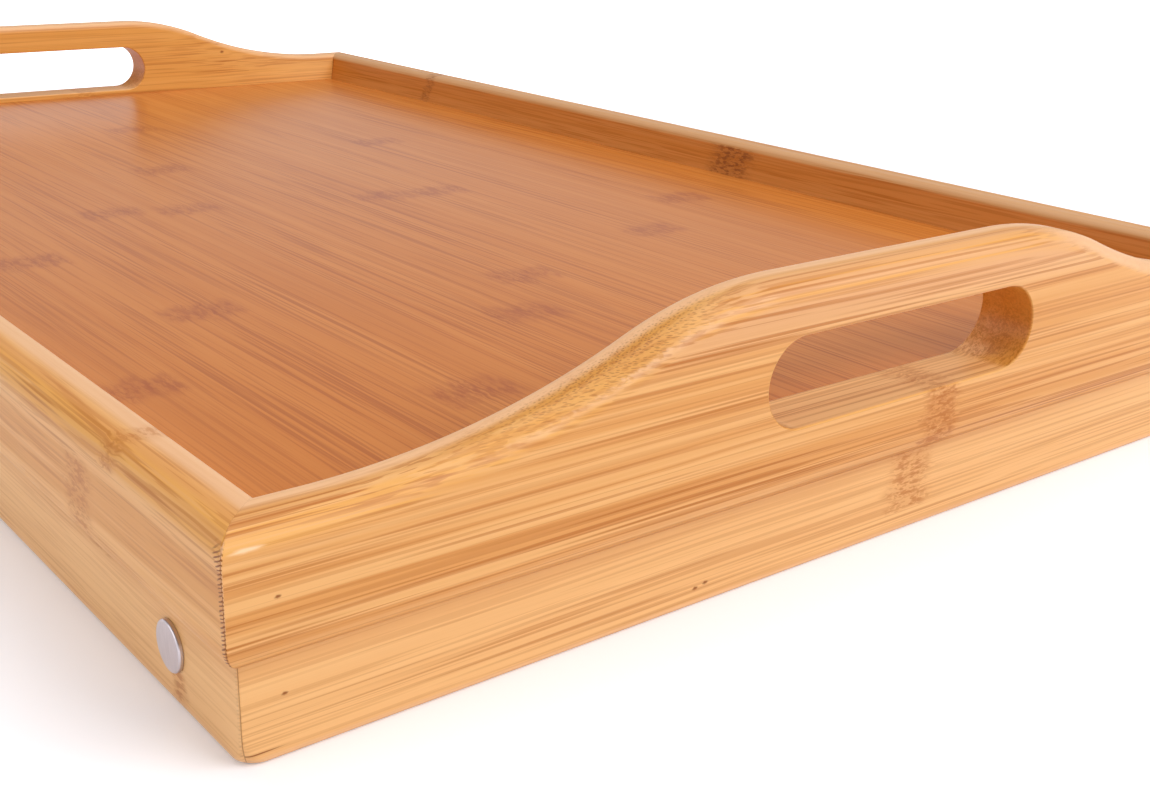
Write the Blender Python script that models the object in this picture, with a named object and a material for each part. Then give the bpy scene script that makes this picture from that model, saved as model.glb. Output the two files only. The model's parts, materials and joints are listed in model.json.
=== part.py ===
"""A bamboo bed tray with handled end boards and two folding leg frames, as separate solids.

X runs along the tray, Y across it and Z up. The origin is on the surface that the tray stands on,
under its middle. The legs are modelled folded flat under the panel.
"""

from math import acos, atan2, cos, degrees, hypot, pi, radians, sin, sqrt

import bmesh
import bpy
from mathutils import Matrix, Vector

MM = 0.001

# The tray's frame of four mitred boards
TRAY_LENGTH = 500 * MM
TRAY_WIDTH = 304 * MM
BOARD_THICKNESS = 15 * MM
RAIL_HEIGHT = 42.5 * MM
TOP_EDGE_RADIUS = 3 * MM
FOOT_EDGE_RADIUS = 1.2 * MM

# Above the panel the inner face leans outwards, so a board is thinner at its top by this much
INNER_LEAN = 3 * MM

# The moulded outer face: a proud upper part that rounds in to a lower, thinner band
BAND_HEIGHT = 18.5 * MM
BAND_INSET = 3 * MM
FLARE_RADIUS = 6 * MM

# Below the panel an end board's inner face is set back, which lets the legs' short ends swing
LEG_RECESS = 3 * MM

# The raised handle of an end board
HANDLE_RISE = 20.1 * MM
HANDLE_TOP_LENGTH = 68 * MM
SHOULDER_SETBACK = 2.6 * MM
CROWN_RADIUS = 89 * MM
SLOT_LENGTH = 81 * MM
SLOT_HEIGHT = 18.7 * MM
SLOT_ABOVE_PANEL = 1.9 * MM

# The panel and its groove
PANEL_THICKNESS = 6 * MM
BASIN_DEPTH = 11.5 * MM
GROOVE_DEPTH = 8 * MM

# The hidden flat key across each mitred corner
SPLINE_THICKNESS = 3 * MM
SPLINE_WIDTH = 8 * MM
SPLINE_END_WALL = 4 * MM

# The folding leg frames
POST_WIDTH = 18 * MM
POST_THICKNESS = 12 * MM
POST_EDGE_RADIUS = 1 * MM
POST_FOOT_RADIUS = 4 * MM
STOP_CORNER_RADIUS = 2 * MM
FOLDED_FEET_APART = 28 * MM
BAR_ABOVE_FOOT = 30 * MM
BAR_HEIGHT = 18 * MM
BAR_THICKNESS = 12 * MM
TENON_SHOULDER = 3 * MM
TENON_LENGTH = 8 * MM

# The pivots
PIVOT_HEIGHT = 11.2 * MM
HEAD_RADIUS = 4.9 * MM
HEAD_THICKNESS = 0.8 * MM
HEAD_RIM_RADIUS = 0.35 * MM
SCREW_RADIUS = 1.8 * MM
SCREW_LENGTH = 14 * MM
SOCKET_RADIUS = 1.6 * MM
SOCKET_DEPTH = 0.8 * MM
SLEEVE_WALL = 0.9 * MM
SLEEVE_SHORT_OF_POST = 1 * MM
BORE_PAST_SCREW = 1 * MM
WASHER_RADIUS = 7.5 * MM
WASHER_THICKNESS = 1 * MM

# Clearances
WOOD_GAP = 0.3 * MM
SEAT_GAP = 0.2 * MM
RUNNING_GAP = 0.3 * MM
THREAD_GAP = 0.3 * MM
SWING_CLEARANCE = 0.5 * MM
CUT_OVERRUN = 2 * MM

# How finely round shapes are cut into facets
EDGE_STEPS = 4
CROWN_STEPS = 6
FOOT_STEPS = 8
RIM_STEPS = 3
POST_EDGE_STEPS = 2
END_STEPS = 8
TURNED_STEPS = 24
FLAT_ANGLE = radians(0.4)
SMOOTH_ANGLE = radians(35)

# What follows from the sizes above
INNER_LENGTH = TRAY_LENGTH - 2 * BOARD_THICKNESS
INNER_WIDTH = TRAY_WIDTH - 2 * BOARD_THICKNESS
BAND_THICKNESS = BOARD_THICKNESS - BAND_INSET
PANEL_TOP = RAIL_HEIGHT - BASIN_DEPTH
PANEL_UNDERSIDE = PANEL_TOP - PANEL_THICKNESS
SLEEVE_BORE_RADIUS = SCREW_RADIUS + THREAD_GAP
SLEEVE_RADIUS = SLEEVE_BORE_RADIUS + SLEEVE_WALL
PIVOT_HOLE_RADIUS = SLEEVE_RADIUS + RUNNING_GAP

# Across the tray, from the rail's inner face inwards
POST_OUTER_Y = INNER_WIDTH / 2 - 2 * SEAT_GAP - WASHER_THICKNESS
POST_INNER_Y = POST_OUTER_Y - POST_THICKNESS

# A leg's short end reaches up to just under the panel when the leg stands
SHORT_END = PANEL_UNDERSIDE - PIVOT_HEIGHT - WOOD_GAP
STOP_CORNER_REACH = STOP_CORNER_RADIUS + hypot(
    SHORT_END - STOP_CORNER_RADIUS, POST_WIDTH / 2 - STOP_CORNER_RADIUS
)
PIVOT_X = INNER_LENGTH / 2 + LEG_RECESS - STOP_CORNER_REACH - SWING_CLEARANCE
LEG_REACH = PIVOT_X - FOLDED_FEET_APART / 2

ENDS = (("left", -1), ("right", 1))
SIDES = (("front", -1), ("back", 1))


def clear_scene():
    """Remove whatever the open file holds."""
    for obj in list(bpy.data.objects):
        bpy.data.objects.remove(obj, do_unlink=True)


def make_material(name, colour, roughness, metallic=0.0):
    """A plain Principled surface; the colour is linear."""
    material = bpy.data.materials.new(name)
    material.use_nodes = True
    surface = material.node_tree.nodes["Principled BSDF"]
    surface.inputs["Base Color"].default_value = (*colour, 1.0)
    surface.inputs["Roughness"].default_value = roughness
    surface.inputs["Metallic"].default_value = metallic
    material.diffuse_color = (*colour, 1.0)
    return material


def add_object(name, shape, material=None):
    """Turn a bmesh into a named object, shaded smooth except at its sharp edges."""
    bmesh.ops.recalc_face_normals(shape, faces=shape.faces)
    mesh = bpy.data.meshes.new(name)
    shape.to_mesh(mesh)
    shape.free()
    mesh.shade_smooth()
    mesh.set_sharp_from_angle(angle=SMOOTH_ANGLE)
    if material:
        mesh.materials.append(material)
    obj = bpy.data.objects.new(name, mesh)
    bpy.context.scene.collection.objects.link(obj)
    return obj


def cut(obj, name, shape):
    """Cut a shape, given in the object's own frame, out of the object."""
    cutter = add_object(name, shape)
    cutter.parent = obj
    cutter.hide_render = True
    cutter.display_type = "WIRE"
    modifier = obj.modifiers.new(name, "BOOLEAN")
    modifier.operation = "DIFFERENCE"
    modifier.solver = "EXACT"
    modifier.object = cutter


def arc(centre, radius, start, end, steps):
    """Points round part of a circle, in a plane, from one angle to another in degrees."""
    angles = [radians(start + (end - start) * step / steps) for step in range(steps + 1)]
    return [(centre[0] + radius * cos(a), centre[1] + radius * sin(a)) for a in angles]


def add_prism(shape, outline, low, high, place=Matrix()):
    """Extrude a flat outline, given as (x, z) pairs, from one y to another."""
    base = [shape.verts.new((x, low, z)) for x, z in outline]
    top = bmesh.ops.extrude_face_region(shape, geom=[shape.faces.new(base)])["geom"]
    raised = [item for item in top if isinstance(item, bmesh.types.BMVert)]
    bmesh.ops.translate(shape, vec=(0, high - low, 0), verts=raised)
    bmesh.ops.transform(shape, matrix=place, verts=base + raised)


def add_box(shape, size, place):
    """Add a box of a given size, centred on a placing matrix's origin."""
    bmesh.ops.create_cube(shape, size=1, matrix=place @ Matrix.Diagonal((*size, 1)))


def add_turned(shape, profile, steps):
    """Turn a profile of (radius, y) pairs, which starts and ends on the Y axis or closes on itself."""
    points = [shape.verts.new((radius, y, 0)) for radius, y in profile]
    edges = [shape.edges.new(pair) for pair in zip(points, points[1:])]
    if profile[0][0] > 0:
        edges.append(shape.edges.new((points[-1], points[0])))
    bmesh.ops.spin(
        shape, geom=points + edges, cent=(0, 0, 0), axis=(0, 1, 0), angle=2 * pi, steps=steps,
        use_merge=True,
    )
    bmesh.ops.remove_doubles(shape, verts=shape.verts, dist=SEAT_GAP / 100)


def board_section(recess):
    """A board's section: (outwards from where its panel meets it, height, 1 if it rides the handle)."""
    foot = FOOT_EDGE_RADIUS
    top = TOP_EDGE_RADIUS
    outer = BOARD_THICKNESS
    flare_turn = acos(1 - BAND_INSET / FLARE_RADIUS)
    flare_top = BAND_HEIGHT + FLARE_RADIUS * sin(flare_turn)
    groove_low = PANEL_UNDERSIDE - WOOD_GAP
    groove_high = PANEL_TOP + WOOD_GAP
    groove_back = GROOVE_DEPTH + WOOD_GAP

    below = arc((recess + foot, foot), foot, 180, 270, EDGE_STEPS)
    below += arc((BAND_THICKNESS - foot, foot), foot, 270, 360, EDGE_STEPS)
    below += arc((outer - FLARE_RADIUS, flare_top), FLARE_RADIUS, -degrees(flare_turn), 0, EDGE_STEPS)
    above = arc((outer - top, RAIL_HEIGHT - top), top, 0, 90, EDGE_STEPS)
    above += arc((INNER_LEAN + top, RAIL_HEIGHT - top), top, 90, 180, EDGE_STEPS)
    groove = [(0, groove_high), (groove_back, groove_high), (groove_back, groove_low), (recess, groove_low)]
    return (
        [(*point, 0) for point in below]
        + [(*point, 1) for point in above]
        + [(*point, 0) for point in groove]
    )


def handle_line():
    """The handle's top edge as (along, rise above the rail) pairs, from one shoulder's foot to the other."""
    run = INNER_WIDTH / 2 - SHOULDER_SETBACK - HANDLE_TOP_LENGTH / 2
    turn = 2 * atan2(HANDLE_RISE, run)
    foot_radius = run / sin(turn) - CROWN_RADIUS
    crown_centre = (HANDLE_TOP_LENGTH / 2, HANDLE_RISE - CROWN_RADIUS)
    foot_centre = (INNER_WIDTH / 2 - SHOULDER_SETBACK, foot_radius)
    half = arc(crown_centre, CROWN_RADIUS, 90, 90 - degrees(turn), CROWN_STEPS)
    half += arc(foot_centre, foot_radius, 270 - degrees(turn), 270, FOOT_STEPS)[1:]
    return [(-along, rise) for along, rise in reversed(half)] + half


def add_ring(shape, points):
    """Add a closed ring of points, and return its edges."""
    verts = [shape.verts.new(point) for point in points]
    return [shape.edges.new(pair) for pair in zip(verts, verts[1:] + verts[:1])]


def mitred_ring(end, inner_length, section):
    """The section where it meets the mitre, at one end of a board."""
    back_off = inner_length / 2 - WOOD_GAP / sqrt(2)
    return [(end * (back_off + outward), outward, height) for outward, height, _ in section]


def handle_ring(along, rise, section):
    """The section at one place along the handle, where its upper points ride the handle's top edge."""
    return [(along, outward, height + rise * rides) for outward, height, rides in section]


def make_board(name, inner_length, inner_across, facing, top_line, recess, material):
    """One mitred board. Its own X runs along it, and its own +Y outwards from the tray's middle."""
    shape = bmesh.new()
    section = board_section(recess)
    rings = [add_ring(shape, mitred_ring(-1, inner_length, section))]
    rings += [add_ring(shape, handle_ring(along, rise, section)) for along, rise in top_line]
    rings += [add_ring(shape, mitred_ring(1, inner_length, section))]
    for ring, following in zip(rings, rings[1:]):
        bmesh.ops.bridge_loops(shape, edges=ring + following)
    bmesh.ops.holes_fill(shape, edges=rings[0] + rings[-1])
    bmesh.ops.dissolve_limit(shape, angle_limit=FLAT_ANGLE, verts=shape.verts, edges=shape.edges)
    bmesh.ops.triangulate(shape, faces=shape.faces)
    board = add_object(name, shape, material)
    board.rotation_euler.z = radians(facing)
    board.location = Matrix.Rotation(radians(facing), 4, "Z") @ Vector((0, inner_across / 2, 0))
    cut_spline_slots(board, inner_length)
    return board


def spline_places(half_length, half_width):
    """Where a flat key sits at a corner: its outward shift from the inner corner and its height span."""
    shift = (LEG_RECESS + BAND_THICKNESS - SPLINE_WIDTH / 2 * sin(pi / 4)) / 2
    low = SPLINE_END_WALL
    high = PANEL_UNDERSIDE - WOOD_GAP - SPLINE_END_WALL
    return half_length + shift, half_width + shift, low, high


def cut_spline_slots(board, inner_length):
    """Cut the slot for half of a flat key into each mitred end of a board."""
    shape = bmesh.new()
    x, y, low, high = spline_places(inner_length / 2, 0)
    size = (SPLINE_WIDTH + 2 * WOOD_GAP, SPLINE_THICKNESS + 2 * WOOD_GAP, high - low + 2 * WOOD_GAP)
    for end in (-1, 1):
        place = Matrix.Translation((end * x, y, (low + high) / 2)) @ Matrix.Rotation(-end * pi / 4, 4, "Z")
        add_box(shape, size, place)
    cut(board, board.name + "_spline_slots", shape)


def cut_pivot_holes(rail):
    """Drill a rail for the two pivots."""
    shape = bmesh.new()
    circle = arc((0, 0), PIVOT_HOLE_RADIUS, 0, 360, TURNED_STEPS)[:-1]
    for end in (-1, 1):
        place = Matrix.Translation((end * PIVOT_X, 0, PIVOT_HEIGHT))
        add_prism(shape, circle, -CUT_OVERRUN, BOARD_THICKNESS + CUT_OVERRUN, place)
    cut(rail, rail.name + "_pivot_holes", shape)


def cut_hand_slot(board):
    """Cut the round-ended hand slot through an end board."""
    radius = SLOT_HEIGHT / 2
    centre_height = PANEL_TOP + SLOT_ABOVE_PANEL + radius
    half_straight = SLOT_LENGTH / 2 - radius
    outline = arc((half_straight, centre_height), radius, -90, 90, 2 * END_STEPS)
    outline += arc((-half_straight, centre_height), radius, 90, 270, 2 * END_STEPS)
    shape = bmesh.new()
    add_prism(shape, outline, -CUT_OVERRUN, BOARD_THICKNESS + CUT_OVERRUN)
    cut(board, board.name + "_hand_slot", shape)


def make_boards(bamboo):
    """The two rails and the two end boards."""
    for side, facing in (("front", 180), ("back", 0)):
        rail = make_board(side + "_rail", INNER_LENGTH, INNER_WIDTH, facing, [], 0, bamboo)
        cut_pivot_holes(rail)
    top_line = handle_line()
    for end, facing in (("left", 90), ("right", -90)):
        name = end + "_end_board"
        board = make_board(name, INNER_WIDTH, INNER_LENGTH, facing, top_line, LEG_RECESS, bamboo)
        cut_hand_slot(board)


def make_panel(material):
    """The panel, housed in the boards' grooves on all four sides."""
    shape = bmesh.new()
    size = (INNER_LENGTH + 2 * GROOVE_DEPTH, INNER_WIDTH + 2 * GROOVE_DEPTH, PANEL_THICKNESS)
    add_box(shape, size, Matrix.Translation((0, 0, (PANEL_TOP + PANEL_UNDERSIDE) / 2)))
    add_object("tray_panel", shape, material)


def make_splines(material):
    """The hidden flat key in each mitred corner."""
    x, y, low, high = spline_places(INNER_LENGTH / 2, INNER_WIDTH / 2)
    for end, end_sign in ENDS:
        for side, side_sign in SIDES:
            shape = bmesh.new()
            add_box(shape, (SPLINE_WIDTH, SPLINE_THICKNESS, high - low), Matrix())
            spline = add_object(f"corner_spline_{side}_{end}", shape, material)
            spline.location = (end_sign * x, side_sign * y, (low + high) / 2)
            spline.rotation_euler.z = -end_sign * side_sign * pi / 4


def sleeve_nut_shape():
    """A flat-headed sleeve with a blind bore; y runs outwards, from zero at the rail's inner face."""
    seat = BAND_THICKNESS + SEAT_GAP
    face = seat + HEAD_THICKNESS
    shank_end = POST_INNER_Y + SLEEVE_SHORT_OF_POST - INNER_WIDTH / 2
    bore_end = POST_INNER_Y - SEAT_GAP + SCREW_LENGTH + BORE_PAST_SCREW - INNER_WIDTH / 2
    rim = arc((HEAD_RADIUS - HEAD_RIM_RADIUS, face - HEAD_RIM_RADIUS), HEAD_RIM_RADIUS, 90, 0, RIM_STEPS)
    profile = [(0, face)] + rim + [
        (HEAD_RADIUS, seat),
        (SLEEVE_RADIUS, seat),
        (SLEEVE_RADIUS, shank_end),
        (SLEEVE_BORE_RADIUS, shank_end),
        (SLEEVE_BORE_RADIUS, bore_end),
        (0, bore_end),
    ]
    shape = bmesh.new()
    add_turned(shape, profile, TURNED_STEPS)
    return shape


def pivot_screw_shape():
    """The screw that closes the sleeve, its flat head against the post's inner face."""
    seat = POST_INNER_Y - SEAT_GAP - INNER_WIDTH / 2
    face = seat - HEAD_THICKNESS
    rim = arc((HEAD_RADIUS - HEAD_RIM_RADIUS, face + HEAD_RIM_RADIUS), HEAD_RIM_RADIUS, 270, 360, RIM_STEPS)
    profile = [(0, face)] + rim + [
        (HEAD_RADIUS, seat),
        (SCREW_RADIUS, seat),
        (SCREW_RADIUS, seat + SCREW_LENGTH),
        (0, seat + SCREW_LENGTH),
    ]
    shape = bmesh.new()
    add_turned(shape, profile, TURNED_STEPS)
    return shape


def socket_shape():
    """The six-sided driving socket in the screw's head."""
    head_face = POST_INNER_Y - SEAT_GAP - INNER_WIDTH / 2 - HEAD_THICKNESS
    shape = bmesh.new()
    hexagon = arc((0, 0), SOCKET_RADIUS, 0, 360, 6)[:-1]
    add_prism(shape, hexagon, head_face - CUT_OVERRUN, head_face + SOCKET_DEPTH)
    return shape


def washer_shape():
    """The thin ring that keeps a post off its rail."""
    outer = -SEAT_GAP
    inner = outer - WASHER_THICKNESS
    profile = [
        (PIVOT_HOLE_RADIUS, outer),
        (WASHER_RADIUS, outer),
        (WASHER_RADIUS, inner),
        (PIVOT_HOLE_RADIUS, inner),
    ]
    shape = bmesh.new()
    add_turned(shape, profile, TURNED_STEPS)
    return shape


def make_pivots(steel, nylon):
    """At each corner: a sleeve nut from outside, a screw from inside and a washer between."""
    for end, end_sign in ENDS:
        for side, side_sign in SIDES:
            place = (end_sign * PIVOT_X, side_sign * INNER_WIDTH / 2, PIVOT_HEIGHT)
            nut = add_object(f"sleeve_nut_{side}_{end}", sleeve_nut_shape(), steel)
            screw = add_object(f"pivot_screw_{side}_{end}", pivot_screw_shape(), steel)
            washer = add_object(f"spacer_washer_{side}_{end}", washer_shape(), nylon)
            cut(screw, screw.name + "_socket", socket_shape())
            for piece in (nut, screw, washer):
                piece.location = place
                piece.rotation_euler.z = 0 if side_sign > 0 else pi


def post_outline():
    """A post seen from the side, folded: the pivot at the origin and the foot along +X."""
    half = POST_WIDTH / 2
    foot = LEG_REACH - POST_FOOT_RADIUS
    foot_height = half - POST_FOOT_RADIUS
    stop = STOP_CORNER_RADIUS
    outline = arc((foot, -foot_height), POST_FOOT_RADIUS, -90, 0, EDGE_STEPS)
    outline += arc((foot, foot_height), POST_FOOT_RADIUS, 0, 90, EDGE_STEPS)
    outline += arc((half - SHORT_END, 0), half, 90, 180, END_STEPS)
    outline += arc((stop - SHORT_END, stop - half), stop, 180, 270, EDGE_STEPS)
    return outline


def post_shape():
    """A post with its long edges eased, centred across its own thickness."""
    shape = bmesh.new()
    add_prism(shape, post_outline(), -POST_THICKNESS / 2, POST_THICKNESS / 2)
    bmesh.ops.recalc_face_normals(shape, faces=shape.faces)
    rim = [edge for edge in shape.edges if abs(edge.verts[0].co.y - edge.verts[1].co.y) < SEAT_GAP / 2]
    bmesh.ops.bevel(
        shape, geom=rim, offset=POST_EDGE_RADIUS, segments=POST_EDGE_STEPS, profile=0.5, affect="EDGES"
    )
    return shape


def bar_place():
    """How far along a leg, from its pivot, the middle of the cross bar lies."""
    return LEG_REACH - BAR_ABOVE_FOOT - BAR_HEIGHT / 2


def cut_post(post, inwards):
    """Drill a post for its sleeve and cut the mortise for the bar's tenon in its inner face."""
    hole = bmesh.new()
    circle = arc((0, 0), PIVOT_HOLE_RADIUS, 0, 360, TURNED_STEPS)[:-1]
    half = POST_THICKNESS / 2
    add_prism(hole, circle, -half - CUT_OVERRUN, half + CUT_OVERRUN)
    cut(post, post.name + "_pivot_hole", hole)
    mortise = bmesh.new()
    depth = TENON_LENGTH + WOOD_GAP
    size = (
        BAR_HEIGHT - 2 * TENON_SHOULDER + 2 * WOOD_GAP,
        depth + CUT_OVERRUN,
        BAR_THICKNESS - 2 * TENON_SHOULDER + 2 * WOOD_GAP,
    )
    middle = inwards * (half - depth + (depth + CUT_OVERRUN) / 2)
    add_box(mortise, size, Matrix.Translation((bar_place(), middle, 0)))
    cut(post, post.name + "_mortise", mortise)


def bar_shape():
    """The cross bar, with a tenon standing out of each end."""
    length = 2 * (POST_INNER_Y - WOOD_GAP)
    shape = bmesh.new()
    add_box(shape, (BAR_HEIGHT, length, BAR_THICKNESS), Matrix())
    for sign in (-1, 1):
        end = [face for face in shape.faces if face.normal.y * sign > 0.9][:1]
        bmesh.ops.inset_region(shape, faces=end, thickness=TENON_SHOULDER, use_even_offset=True)
        top = bmesh.ops.extrude_face_region(shape, geom=end)["geom"]
        raised = [item for item in top if isinstance(item, bmesh.types.BMVert)]
        bmesh.ops.translate(shape, vec=(0, sign * TENON_LENGTH, 0), verts=raised)
        bmesh.ops.delete(shape, geom=end, context="FACES")
        shape.normal_update()
    return shape


def make_leg_frame(end, end_sign, bamboo):
    """One folding frame: two posts and their bar, carried by an empty on the pivots' line."""
    hinge = bpy.data.objects.new(end + "_leg_hinge", None)
    bpy.context.scene.collection.objects.link(hinge)
    hinge.location = (end_sign * PIVOT_X, 0, PIVOT_HEIGHT)
    hinge.rotation_euler.z = pi if end_sign > 0 else 0
    for side, side_sign in SIDES:
        post = add_object(f"leg_post_{side}_{end}", post_shape(), bamboo)
        own_side = -side_sign * end_sign
        post.parent = hinge
        post.location.y = own_side * (POST_INNER_Y + POST_THICKNESS / 2)
        cut_post(post, -own_side)
    bar = add_object(f"leg_bar_{end}", bar_shape(), bamboo)
    bar.parent = hinge
    bar.location.x = bar_place()


def main():
    clear_scene()
    bamboo = make_material("bamboo", (0.70, 0.42, 0.19), 0.45)
    panel_bamboo = make_material("panel_bamboo", (0.60, 0.23, 0.10), 0.40)
    hidden_bamboo = make_material("hidden_bamboo", (0.62, 0.38, 0.18), 0.60)
    steel = make_material("pivot_steel", (0.55, 0.51, 0.56), 0.30, metallic=1.0)
    nylon = make_material("washer_nylon", (0.75, 0.73, 0.68), 0.50)
    make_boards(bamboo)
    make_panel(panel_bamboo)
    make_splines(hidden_bamboo)
    make_pivots(steel, nylon)
    for end, end_sign in ENDS:
        make_leg_frame(end, end_sign, bamboo)


main()
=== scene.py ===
"""How a bamboo bed tray looks: its fine surfaces, finishes, light and camera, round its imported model.

Lengths are in metres, or in millimetres where a name says mm. X runs along the tray, Y across it and
Z up, and the tray stands on Z zero. Front is the side of the near long rail, and right the near end.
"""

from __future__ import annotations

import json
import logging
from collections.abc import Mapping
from dataclasses import dataclass, field
from enum import Enum
from math import atan2, cos, pi, radians, sin, sqrt
from typing import Union

import bmesh
import bpy
import numpy as np
from mathutils import Matrix, Vector


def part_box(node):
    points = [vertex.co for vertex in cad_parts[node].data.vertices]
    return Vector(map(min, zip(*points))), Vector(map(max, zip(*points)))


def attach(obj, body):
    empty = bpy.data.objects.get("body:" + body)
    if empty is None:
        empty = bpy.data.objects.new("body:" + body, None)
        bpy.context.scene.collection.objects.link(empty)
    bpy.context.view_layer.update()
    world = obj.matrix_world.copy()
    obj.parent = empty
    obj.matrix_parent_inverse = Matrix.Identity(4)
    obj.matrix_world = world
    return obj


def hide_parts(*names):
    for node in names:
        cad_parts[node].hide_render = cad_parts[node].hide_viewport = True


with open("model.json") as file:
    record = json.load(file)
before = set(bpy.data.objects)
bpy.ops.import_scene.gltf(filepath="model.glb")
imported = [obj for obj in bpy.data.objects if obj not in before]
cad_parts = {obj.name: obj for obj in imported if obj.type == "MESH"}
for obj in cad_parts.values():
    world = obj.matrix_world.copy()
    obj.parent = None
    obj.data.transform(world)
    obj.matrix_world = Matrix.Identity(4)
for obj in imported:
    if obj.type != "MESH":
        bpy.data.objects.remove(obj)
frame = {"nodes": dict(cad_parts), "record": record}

MM = 0.001
MM_PER_METRE = 1000.0
SHARP_ANGLE = radians(32)

Colour = tuple[float, float, float, float]
Triple = tuple[float, float, float]
Pair = tuple[float, float]
Feed = Union["Field", float, Colour, Triple]

log = logging.getLogger("bed_tray")


class Grain(Enum):
    """The axis that a piece's bamboo fibres run along."""

    ALONG_X = "X"
    ALONG_Y = "Y"


class End(Enum):
    """An end of the tray, with the sign of its X."""

    LEFT = -1
    RIGHT = 1


class Side(Enum):
    """A long side of the tray, with the sign of its Y."""

    FRONT = -1
    BACK = 1


def paint(red: int, green: int, blue: int) -> Colour:
    """Turn a screen colour from 0 to 255 into the linear colour that a shader takes.

    Args:
        red, green, blue: the colour as a screen shows it.

    Returns:
        The linear colour with full alpha, by the usual screen curve.
    """
    shares = np.array([red, green, blue]) / 255
    linear = np.where(shares <= 0.04045, shares / 12.92, ((shares + 0.055) / 1.055) ** 2.4)
    return (*linear.tolist(), 1.0)


class Field:
    """A number, point, colour or shader that the nodes work out at each place, with signs for sums."""

    def __init__(self, sketch: NodeSketch, socket: bpy.types.NodeSocket) -> None:
        """Keep the socket that gives the value, and the sketch that it is part of."""
        self.sketch = sketch
        self.socket = socket

    def __add__(self, other: Feed) -> Field:
        """Add a value."""
        return self.sketch.maths("ADD", self, other)

    def __sub__(self, other: Feed) -> Field:
        """Take a value away."""
        return self.sketch.maths("SUBTRACT", self, other)

    def __rsub__(self, other: float) -> Field:
        """Take this away from a fixed number."""
        return self.sketch.maths("SUBTRACT", other, self)

    def __mul__(self, other: Feed) -> Field:
        """Multiply by a value."""
        return self.sketch.maths("MULTIPLY", self, other)

    def __truediv__(self, other: Feed) -> Field:
        """Divide by a value."""
        return self.sketch.maths("DIVIDE", self, other)

    def __abs__(self) -> Field:
        """Drop the sign."""
        return self.sketch.maths("ABSOLUTE", self)

    __radd__ = __add__
    __rmul__ = __mul__

    def most(self, other: Feed) -> Field:
        """Give the larger of this and another value."""
        return self.sketch.maths("MAXIMUM", self, other)

    def step(self, low: float, high: float) -> Field:
        """Rise smoothly from 0 at low to 1 at high, or fall where low is the larger."""
        feeds = {"Value": self, "From Min": low, "From Max": high}
        return self.sketch.result("ShaderNodeMapRange", feeds, interpolation_type="SMOOTHSTEP")

    def pick(self, first: Feed, second: Feed) -> Field:
        """Give the first value where this is 0, and the second where it is 1."""
        return self.sketch.result("ShaderNodeMix", {"Factor": self, "A": first, "B": second})

    def under(self, tone: Feed, share: Feed) -> Field:
        """Lay a tone over this colour by a share."""
        return self.sketch.mix(share, self, tone)

    def parts(self) -> list[Field]:
        """Split a point or a colour into its three numbers."""
        node = self.sketch.node("ShaderNodeSeparateXYZ", {0: self})
        return [Field(self.sketch, socket) for socket in node.outputs]

    def moved(self, way: Triple) -> Field:
        """Move a point."""
        return self.sketch.result("ShaderNodeVectorMath", {0: self, 1: way}, operation="ADD")

    def length(self) -> Field:
        """Give a point's distance from zero."""
        return self.sketch.result("ShaderNodeVectorMath", {0: self}, "Value", operation="LENGTH")

    def noise(self, size: float, detail: float = 2.0, roughness: float = 0.5) -> Field:
        """Give soft noise from 0 to 1 at this point, in patches of about a given size."""
        feeds = {"Vector": self, "Scale": 1 / size, "Detail": detail, "Roughness": roughness}
        return self.sketch.result("ShaderNodeTexNoise", feeds)

    def cells(self, size: float, dimensions: str = "3D") -> tuple[Field, Field]:
        """Scatter cells of about a given size, and look this point up among them.

        Args:
            size: their size, in the point's own unit.
            dimensions: 3D, or 2D where Z is left out.

        Returns:
            The way to the nearest centre, in cells, and a number of that cell's own.
        """
        feeds = {"Vector": self, "Scale": 1 / size}
        node = self.sketch.node("ShaderNodeTexVoronoi", feeds, voronoi_dimensions=dimensions)
        distance, own = (Field(self.sketch, node.outputs[name]) for name in ("Distance", "Color"))
        return distance, own.parts()[0]


class NodeSketch:
    """Lays out a tree of shading nodes step by step."""

    def __init__(self, tree: bpy.types.NodeTree) -> None:
        """Start from a tree as it is."""
        self.tree = tree

    def node(self, kind: str, feeds: Mapping[int | str, Feed], **options: object) -> bpy.types.Node:
        """Add a node.

        Args:
            kind: its type.
            feeds: what goes into its sockets, by their number or name.
            options: its own settings.

        Returns:
            The node.
        """
        node = self.tree.nodes.new(kind)
        for name, value in options.items():
            setattr(node, name, value)
        for name, value in feeds.items():
            if isinstance(value, Field):
                self.tree.links.new(value.socket, node.inputs[name])
            else:
                node.inputs[name].default_value = value
        return node

    def result(
        self, kind: str, feeds: Mapping[int | str, Feed], output: int | str = 0, **options: object
    ) -> Field:
        """Add a node and give what comes out of one of its sockets."""
        return Field(self, self.node(kind, feeds, **options).outputs[output])

    def source(self, kind: str, output: str) -> Field:
        """Give one output of a node that takes nothing in."""
        return self.result(kind, {}, output)

    def maths(self, operation: str, *values: Feed) -> Field:
        """Work out one sum of numbers."""
        return self.result("ShaderNodeMath", dict(enumerate(values)), operation=operation)

    def point(self, x: Feed, y: Feed, z: Feed) -> Field:
        """Put three numbers together as a point."""
        return self.result("ShaderNodeCombineXYZ", {0: x, 1: y, 2: z})

    def mix(self, share: Feed, first: Feed, second: Feed) -> Field:
        """Lay a second colour over a first by a share."""
        return self.result("ShaderNodeMix", {0: share, 6: first, 7: second}, 2, data_type="RGBA")

    def mirrored(self) -> Field:
        """Tell whether the place is seen in gloss or through glass."""
        through = self.source("ShaderNodeLightPath", "Is Transmission Ray")
        return self.source("ShaderNodeLightPath", "Is Glossy Ray").most(through)

    def seen(self) -> Field:
        """Tell whether the camera sees the place directly."""
        return self.source("ShaderNodeLightPath", "Is Camera Ray")


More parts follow.
